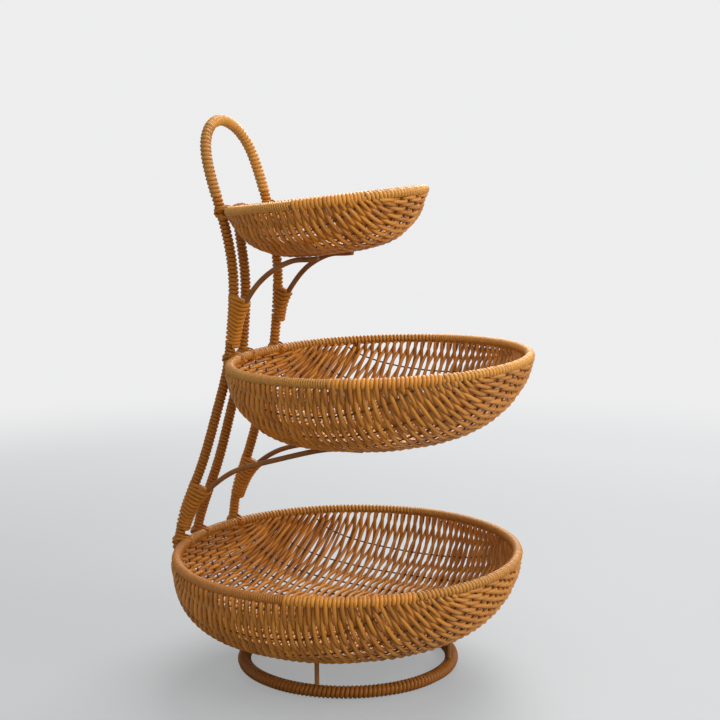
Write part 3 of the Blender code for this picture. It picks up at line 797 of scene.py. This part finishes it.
def underside(tier, x, y, clear):
    """Height of a wire's centre that lies clear under a bowl."""
    back = bowl_place(tier).inverted()
    z = tier.height - tier.depth
    for _ in range(SETTLING_ROUNDS):
        local = back @ Vector((x, y, z))
        share = (math.hypot(local.x, local.y) / tier.outer) ** tier.wall_power
        down = tier.depth * (1 - share) ** (1 / tier.floor_power)
        z -= down + clear + local.z
    return z


def bracket_path(side, level, tier):
    """Course of a bracket's wire, from the bottom of its lashing to its end under the bowl."""
    post = posts[side]
    low, high = LASHED[side, level]
    reach, forward = LANDINGS[level]
    sign = -1 if side == "left" else 1
    box_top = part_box(f"{level}_bracket_{side}")[1].z
    landing = np.array([sign * reach, rack_centre.y + tier.setback + forward,
                        box_top - HOOP_WIRE / 2])
    start = at_height(post, low)
    away = landing - start
    away[2] = 0
    away /= np.linalg.norm(away)
    beside = HOOP_WIRE + BRACKET_CLEAR
    spread = SPREADS[level]
    knee = at_height(post, low + (high - low) * KNEE)
    top = at_height(post, high) + spread * away
    knots = [start + beside * away, knee + (beside + (spread - beside) * KNEE_SPREAD) * away, top]
    for run, rise in BOWS[level]:
        knot = top + (landing - top) * run
        knot[2] = top[2] + (landing[2] - top[2]) * rise
        knots.append(knot)
    landing[2] = underside(tier, landing[0], landing[1], BRACKET_WIRE / 2)
    knots.append(landing)
    for step in RUN_ON:
        x, y = (landing + step * away)[:2]
        knots.append((x, y, underside(tier, x, y, BRACKET_WIRE / 2)))
    return curve_through(knots)


def lashing(post, bracket, low, high):
    """Turns of strand round the post and the bracket together."""
    loops = round((high - low) / LASHING_PITCH)
    count = loops * 2 * END_POINTS
    radius = POST_REACH - LASHING_STRAND / 2 + LASHING_CUSHION
    points = []
    for i in range(count + 1):
        height = low + (high - low) * i / count
        slant = LASHING_SLANT * min(1, (height - low) / SLANT_GROWS_OVER)
        near = at_height(post, height + slant)
        along = at_height(post, height + DIRECTION_STEP) - near
        along /= np.linalg.norm(along)
        far = at_height(bracket, height - slant)
        out = far - near
        out -= out.dot(along) * along
        out /= np.linalg.norm(out)
        step = i % (2 * END_POINTS)
        turn = -math.pi / 2 + math.pi * (step - step // END_POINTS) / (END_POINTS - 1)
        centre = far if step < END_POINTS else near
        around = math.cos(turn) * out + math.sin(turn) * np.cross(along, out)
        points.append(centre + radius * around)
    return np.array(points)


for (side, level), (low, high) in LASHED.items():
    bracket = bracket_path(side, level, MIDDLE if level == "middle" else TOP)
    lay_strands(f"{level}_bracket_{side}_wire", [bracket], BRACKET_WIRE, steel,
                [f"{level}_bracket_{side}"], BRACKET_ROUNDNESS)
    turns = lashing(posts[side], bracket, low + LASHING_INSET, high - LASHING_INSET)
    lay_strands(f"{level}_lashing_{side}_strand", [turns], LASHING_STRAND, wound,
                [f"{level}_lashing_{side}"])

# Foot: a ring of 6 mm wire, close wound with strand, that the bottom bowl stands on by four
# short struts. Its strand is painted darker than the rest, as the shade under the bottom bowl. It
# is wound all the way round, and rests on the floor by its turns.
FOOT_SHADED_DARK = (0.135, 0.037, 0.002)
FOOT_SHADED_LIGHT = (0.28, 0.092, 0.006)
FOOT_RADIUS = 0.0910
FOOT_STRAND = 0.0042
FOOT_PITCH = 0.0037
FOOT_REACH = 0.0039
FOOT_TURN_POINTS = 10
foot_shaded_strand = strand_material("foot_strand", FOOT_SHADED_DARK, FOOT_SHADED_LIGHT, WOUND_GLOSS)
foot_turns = round(2 * math.pi * FOOT_RADIUS / FOOT_PITCH)
k = np.arange(foot_turns * FOOT_TURN_POINTS + 1)
turn = math.pi / 2 + 2 * math.pi * k / k[-1]
lie = 2 * math.pi * k / FOOT_TURN_POINTS
reach = FOOT_RADIUS + FOOT_REACH * np.cos(lie)
ring = np.stack([reach * np.cos(turn), reach * np.sin(turn) + rack_centre.y,
                 rack_centre.z + (rack_centre.z - FOOT_STRAND / 2) * np.sin(lie)], 1)
lay_strands("foot_strand", [ring], FOOT_STRAND, foot_shaded_strand, ["foot_winding"])

# Studio: a pale floor that the camera sees fade into the backdrop, soft light from behind, from
# the right and from above, and a camera that looks at the rack as the photograph does.
FLOOR = (0.31, 0.32, 0.325)
FLOOR_SIZE = 12
FLOOR_ROUGHNESS = 0.5
FLOOR_GLOSS = 0.3
TABLE = (0.60, 0.61, 0.615)
TABLE_NEAR = 0.45
TABLE_FAR = 1.3
TABLE_GLOW = 0.5
BACKDROP = (0.85, 0.85, 0.855)
ROOM = (0.93, 0.94, 0.95)
ROOM_LIGHT = 0.62
LAMP_AIM = (0, 0, 0.2)
LAMPS = (("window_lamp", (1.3, 0.3, 1.5), 1.6, 54), ("side_lamp", (0.1, -1.7, 1.0), 1.4, 26),
         ("top_lamp", (-0.3, -0.2, 2.0), 1.2, 9), ("fill_lamp", (-1.5, -1.0, 0.7), 1.4, 4))
CAMERA_AIM = (0, -0.0137, 0.2701)
CAMERA_DISTANCE = 1.4446
AZIMUTH = math.radians(-58.91)
ELEVATION = math.radians(9.76)
ROLL = math.radians(-0.37)
SENSOR = 36
FOCAL_PIXELS = 1699.5
FRAME_PIXELS = 720


def studio_floor():
    """Floor that takes the rack's shadow. The camera sees part of its light as the table's own."""
    bpy.ops.mesh.primitive_plane_add(size=FLOOR_SIZE)
    floor = bpy.context.object
    floor.name = "studio_floor"
    material, tree, shader = finish_material("studio_floor", FLOOR_ROUGHNESS, FLOOR_GLOSS)
    shader.inputs["Base Color"].default_value = (*FLOOR, 1)
    place = tree.nodes.new("ShaderNodeTexCoord")
    distance = add_node(tree, "ShaderNodeVectorMath")
    distance.operation = "LENGTH"
    fade = add_node(tree, "ShaderNodeMapRange")
    fade.interpolation_type = "SMOOTHSTEP"
    fade.inputs["From Min"].default_value = TABLE_NEAR
    fade.inputs["From Max"].default_value = TABLE_FAR
    backdrop = tree.nodes.new("ShaderNodeEmission")
    far = colour_ramp(tree, fade.outputs["Result"], TABLE, BACKDROP)
    glow = add_node(tree, "ShaderNodeMath")
    glow.operation = "MAXIMUM"
    glow.inputs[1].default_value = TABLE_GLOW
    sight = tree.nodes.new("ShaderNodeLightPath")
    share = add_node(tree, "ShaderNodeMath")
    share.operation = "MULTIPLY"
    blend = tree.nodes.new("ShaderNodeMixShader")
    result = tree.nodes["Material Output"]
    tree.links.new(place.outputs["Object"], distance.inputs[0])
    tree.links.new(distance.outputs["Value"], fade.inputs["Value"])
    tree.links.new(far, backdrop.inputs["Color"])
    tree.links.new(fade.outputs["Result"], glow.inputs[0])
    tree.links.new(glow.outputs[0], share.inputs[0])
    tree.links.new(sight.outputs["Is Camera Ray"], share.inputs[1])
    tree.links.new(share.outputs[0], blend.inputs["Fac"])
    tree.links.new(shader.outputs["BSDF"], blend.inputs[1])
    tree.links.new(backdrop.outputs["Emission"], blend.inputs[2])
    tree.links.new(blend.outputs["Shader"], result.inputs["Surface"])
    floor.data.materials.append(material)


def soft_lamp(name, place, size, watts):
    """A round soft light turned to the rack."""
    lamp = bpy.data.lights.new(name, "AREA")
    lamp.shape = "DISK"
    lamp.size = size
    lamp.energy = watts
    item = bpy.data.objects.new(name, lamp)
    item.location = place
    item.rotation_euler = (Vector(LAMP_AIM) - Vector(place)).to_track_quat("-Z", "Y").to_euler()
    bpy.context.scene.collection.objects.link(item)


studio_floor()
for lamp in LAMPS:
    soft_lamp(*lamp)
world = bpy.data.worlds.new("studio")
bpy.context.scene.world = world
world.use_nodes = True
tree = world.node_tree
seen = tree.nodes["Background"]
seen.inputs["Color"].default_value = (*BACKDROP, 1)
room = add_node(tree, "ShaderNodeBackground", Color=(*ROOM, 1), Strength=ROOM_LIGHT)
sight = tree.nodes.new("ShaderNodeLightPath")
blend = tree.nodes.new("ShaderNodeMixShader")
tree.links.new(sight.outputs["Is Camera Ray"], blend.inputs["Fac"])
tree.links.new(room.outputs["Background"], blend.inputs[1])
tree.links.new(seen.outputs["Background"], blend.inputs[2])
tree.links.new(blend.outputs["Shader"], tree.nodes["World Output"].inputs["Surface"])

camera = bpy.data.cameras.new("camera")
camera.sensor_width = SENSOR
camera.lens = SENSOR * FOCAL_PIXELS / FRAME_PIXELS
camera_object = bpy.data.objects.new("camera", camera)
back = Vector((math.sin(AZIMUTH) * math.cos(ELEVATION), -math.cos(AZIMUTH) * math.cos(ELEVATION),
               math.sin(ELEVATION)))
level = Vector((math.cos(AZIMUTH), math.sin(AZIMUTH), 0))
upright = back.cross(level)
right = level * math.cos(ROLL) + upright * math.sin(ROLL)
up = upright * math.cos(ROLL) - level * math.sin(ROLL)
turned = Matrix((right, up, back)).transposed().to_4x4()
place = Vector(CAMERA_AIM) + CAMERA_DISTANCE * back
camera_object.matrix_world = Matrix.Translation(place) @ turned
bpy.context.scene.collection.objects.link(camera_object)
bpy.context.scene.camera = camera_object
bpy.context.scene.view_settings.view_transform = "Standard"
